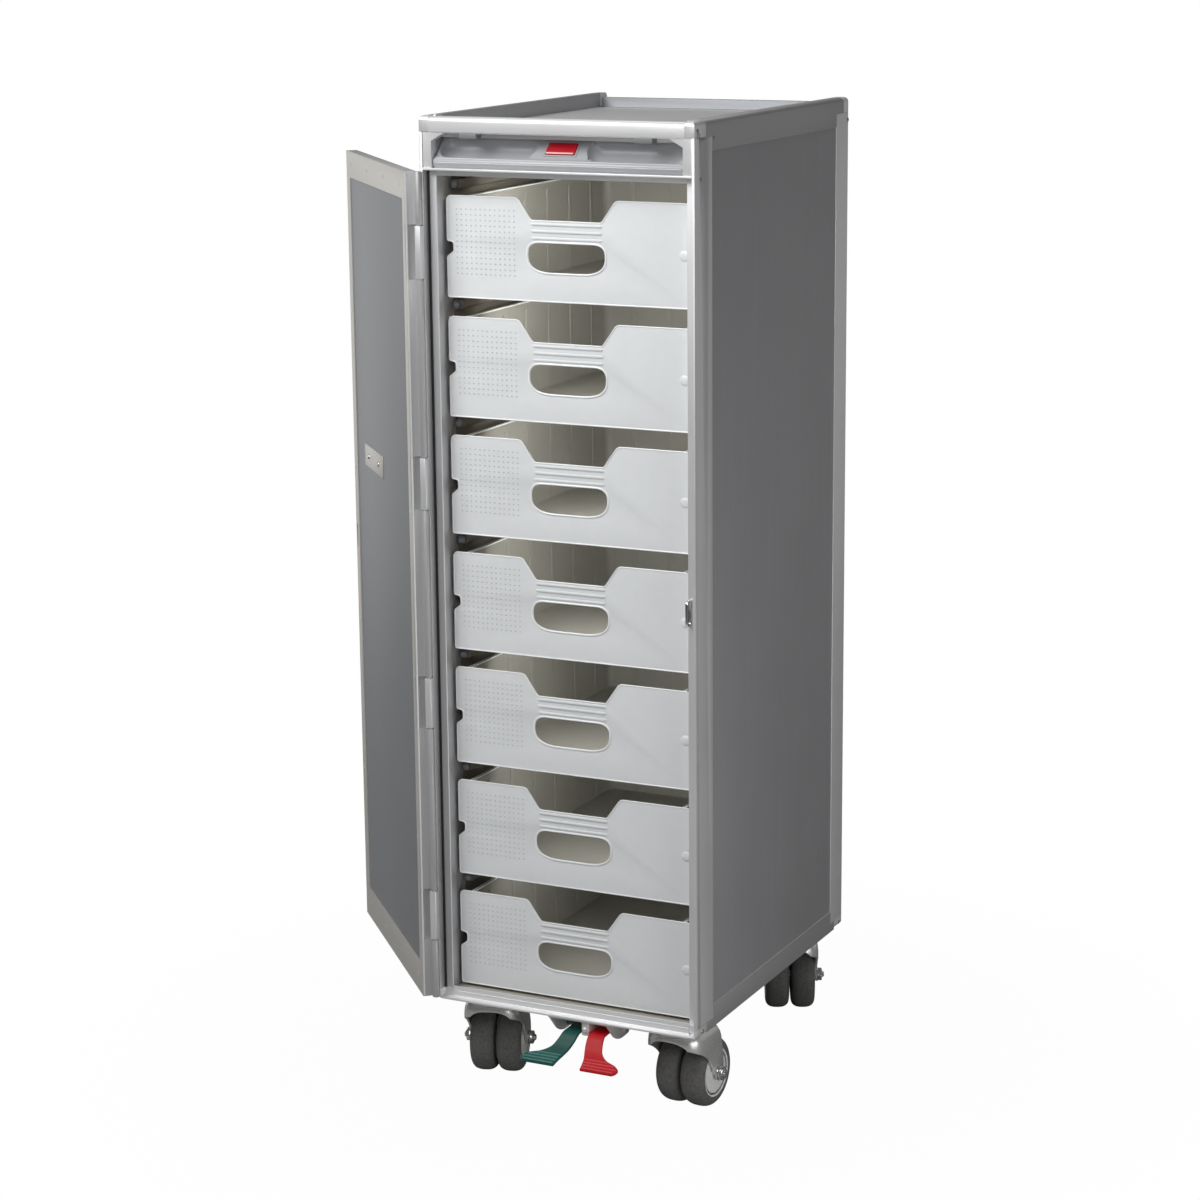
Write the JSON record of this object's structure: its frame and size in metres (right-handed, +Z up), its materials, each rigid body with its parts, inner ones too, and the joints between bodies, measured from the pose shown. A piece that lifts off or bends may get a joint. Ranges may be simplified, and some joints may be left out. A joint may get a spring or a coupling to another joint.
{
  "type": "airline galley cart",
  "caption": "Half-size aircraft galley trolley with an open hinged door, pull-out drawers, recessed handle, brake pedals and twin-wheel swivel casters.",
  "frame": {"origin": "on the floor under the middle of the trolley's body", "axes": "+Z up, +Y towards the closed rear, +X to the right of someone facing the door"},
  "size_m": [0.5097, 0.4708, 1.03],
  "materials": {
    "frame_aluminium": "satin anodised",
    "panel_aluminium": "vertical brushed",
    "tray_aluminium": "fine brushed",
    "door_rim": "satin anodised",
    "door_pan": "brushed",
    "core_foam": "closed foam",
    "runner_aluminium": "matt",
    "drawer_plastic": "translucent milky",
    "handle_plastic": "satin",
    "black_plastic": "matt",
    "red_plastic": "gloss",
    "pedal_red": "gloss powder coat",
    "pedal_green": "gloss powder coat",
    "zinc_steel": "zinc plated",
    "chrome": "bright",
    "seal_rubber": "matt",
    "tyre_rubber": "matt moulded tread on a grey hub"
  },
  "bodies": {
    "trolley": {"side_panel_left": "panel_aluminium", "side_panel_right": "panel_aluminium", "back_panel": "panel_aluminium", "worktop_tray": "tray_aluminium", "ceiling_panel": "tray_aluminium", "base_panel": "tray_aluminium", "front_post_left": "frame_aluminium", "front_post_right": "frame_aluminium", "rear_posts": "frame_aluminium", "top_rail_front": "frame_aluminium", "top_rail_rear": "frame_aluminium", "top_side_rails": "frame_aluminium", "front_sill": "frame_aluminium", "bottom_rail_rear": "frame_aluminium", "bottom_side_rails": "frame_aluminium", "corner_caps": "frame_aluminium", "crossbar": "frame_aluminium", "handle_fascia": "frame_aluminium", "grab_handle": "handle_plastic", "handle_clips": "handle_plastic", "runner_liner_left": "runner_aluminium", "runner_liner_right": "runner_aluminium", "runner_tips": "black_plastic", "door_seal": "seal_rubber", "latch_keeper": "chrome", "hinges": "frame_aluminium", "frame_rivets": "zinc_steel", "brake_bracket": "zinc_steel", "brake_shaft": "zinc_steel", "caster_plates": "zinc_steel"},
    "door": {"door_frame": "door_rim", "door_skin": "panel_aluminium", "door_core": "core_foam", "door_inner_pan": "door_pan", "door_rivets": "zinc_steel", "latch_backing_plate": "zinc_steel", "latch_housing": "zinc_steel"},
    "paddle": {"latch_paddle": "zinc_steel"},
    "button": {"latch_button": "red_plastic"},
    "pedal_red": {"pedal_red": "pedal_red"},
    "pedal_green": {"pedal_green": "pedal_green"},
    "drawer_1": {"drawer_1": "drawer_plastic"},
    "drawer_2": {"drawer_2": "drawer_plastic"},
    "drawer_3": {"drawer_3": "drawer_plastic"},
    "drawer_4": {"drawer_4": "drawer_plastic"},
    "drawer_5": {"drawer_5": "drawer_plastic"},
    "drawer_6": {"drawer_6": "drawer_plastic"},
    "drawer_7": {"drawer_7": "drawer_plastic"},
    "caster_front_left": {"caster_fork_front_left": "zinc_steel"},
    "wheel_front_left_a": {"wheel_front_left_a": "tyre_rubber"},
    "wheel_front_left_b": {"wheel_front_left_b": "tyre_rubber"},
    "caster_front_right": {"caster_fork_front_right": "zinc_steel"},
    "wheel_front_right_a": {"wheel_front_right_a": "tyre_rubber"},
    "wheel_front_right_b": {"wheel_front_right_b": "tyre_rubber"},
    "caster_rear_left": {"caster_fork_rear_left": "zinc_steel"},
    "wheel_rear_left_a": {"wheel_rear_left_a": "tyre_rubber"},
    "wheel_rear_left_b": {"wheel_rear_left_b": "tyre_rubber"},
    "caster_rear_right": {"caster_fork_rear_right": "zinc_steel"},
    "wheel_rear_right_a": {"wheel_rear_right_a": "tyre_rubber"},
    "wheel_rear_right_b": {"wheel_rear_right_b": "tyre_rubber"}
  },
  "joints": [
    {"name": "door_hinge", "type": "hinge", "parent": "trolley", "child": "door", "pos_m": [-0.1504, -0.2063, 0.54], "axis": [0, 0, -1], "range_deg": [-228, 34]},
    {"name": "latch_paddle_hinge", "type": "hinge", "parent": "door", "child": "paddle", "pos_m": [-0.28018, -0.0656, 0.6713], "axis": [0.6691, -0.7431, 0], "range_deg": [0, 35], "stiffness_Nm_per_rad": 0.05},
    {"name": "drawer_1_slide", "type": "slide", "parent": "trolley", "child": "drawer_1", "axis": [0, -1, 0], "range_m": [0, 0.3]},
    {"name": "drawer_2_slide", "type": "slide", "parent": "trolley", "child": "drawer_2", "axis": [0, -1, 0], "range_m": [0, 0.3]},
    {"name": "drawer_3_slide", "type": "slide", "parent": "trolley", "child": "drawer_3", "axis": [0, -1, 0], "range_m": [0, 0.3]},
    {"name": "drawer_4_slide", "type": "slide", "parent": "trolley", "child": "drawer_4", "axis": [0, -1, 0], "range_m": [0, 0.3]},
    {"name": "drawer_5_slide", "type": "slide", "parent": "trolley", "child": "drawer_5", "axis": [0, -1, 0], "range_m": [0, 0.3]},
    {"name": "drawer_6_slide", "type": "slide", "parent": "trolley", "child": "drawer_6", "axis": [0, -1, 0], "range_m": [0, 0.3]},
    {"name": "drawer_7_slide", "type": "slide", "parent": "trolley", "child": "drawer_7", "axis": [0, -1, 0], "range_m": [0, 0.3]},
    {"name": "latch_button_press", "type": "slide", "parent": "trolley", "child": "button", "axis": [0, 0.6979, -0.7162], "range_m": [0, 0.003], "stiffness_N_per_m": 300},
    {"name": "pedal_red_hinge", "type": "hinge", "parent": "trolley", "child": "pedal_red", "pos_m": [0.0135, -0.1565, 0.084], "axis": [1, 0, 0], "range_deg": [-9, 9]},
    {"name": "pedal_green_hinge", "type": "hinge", "parent": "trolley", "child": "pedal_green", "pos_m": [0.0135, -0.1565, 0.084], "axis": [1, 0, 0], "range_deg": [-9, 9]},
    {"name": "swivel_front_left", "type": "hinge", "parent": "trolley", "child": "caster_front_left", "pos_m": [-0.108, -0.1585, 0.095], "axis": [0, 0, 1], "continuous": true},
    {"name": "spin_front_left_a", "type": "hinge", "parent": "caster_front_left", "child": "wheel_front_left_a", "pos_m": [-0.11792, -0.1239, 0.0375], "axis": [0.9613, 0.2756, 0], "continuous": true},
    {"name": "spin_front_left_b", "type": "hinge", "parent": "caster_front_left", "child": "wheel_front_left_b", "pos_m": [-0.11792, -0.1239, 0.0375], "axis": [0.9613, 0.2756, 0], "continuous": true},
    {"name": "swivel_front_right", "type": "hinge", "parent": "trolley", "child": "caster_front_right", "pos_m": [0.108, -0.1585, 0.095], "axis": [0, 0, 1], "continuous": true},
    {"name": "spin_front_right_a", "type": "hinge", "parent": "caster_front_right", "child": "wheel_front_right_a", "pos_m": [0.11051, -0.12259, 0.0375], "axis": [0.9976, -0.0698, 0], "continuous": true},
    {"name": "spin_front_right_b", "type": "hinge", "parent": "caster_front_right", "child": "wheel_front_right_b", "pos_m": [0.11051, -0.12259, 0.0375], "axis": [0.9976, -0.0698, 0], "continuous": true},
    {"name": "swivel_rear_left", "type": "hinge", "parent": "trolley", "child": "caster_rear_left", "pos_m": [-0.108, 0.1525, 0.095], "axis": [0, 0, 1], "continuous": true},
    {"name": "spin_rear_left_a", "type": "hinge", "parent": "caster_rear_left", "child": "wheel_rear_left_a", "pos_m": [-0.11549, 0.18771, 0.0375], "axis": [0.9781, 0.2079, 0], "continuous": true},
    {"name": "spin_rear_left_b", "type": "hinge", "parent": "caster_rear_left", "child": "wheel_rear_left_b", "pos_m": [-0.11549, 0.18771, 0.0375], "axis": [0.9781, 0.2079, 0], "continuous": true},
    {"name": "swivel_rear_right", "type": "hinge", "parent": "trolley", "child": "caster_rear_right", "pos_m": [0.108, 0.1525, 0.095], "axis": [0, 0, 1], "continuous": true},
    {"name": "spin_rear_right_a", "type": "hinge", "parent": "caster_rear_right", "child": "wheel_rear_right_a", "pos_m": [0.09279, 0.18513, 0.0375], "axis": [0.9063, 0.4226, 0], "continuous": true},
    {"name": "spin_rear_right_b", "type": "hinge", "parent": "caster_rear_right", "child": "wheel_rear_right_b", "pos_m": [0.09279, 0.18513, 0.0375], "axis": [0.9063, 0.4226, 0], "continuous": true}
  ],
  "couplings": [
    {"joint": "pedal_green_hinge", "follows": "pedal_red_hinge", "ratio": -1}
  ]
}
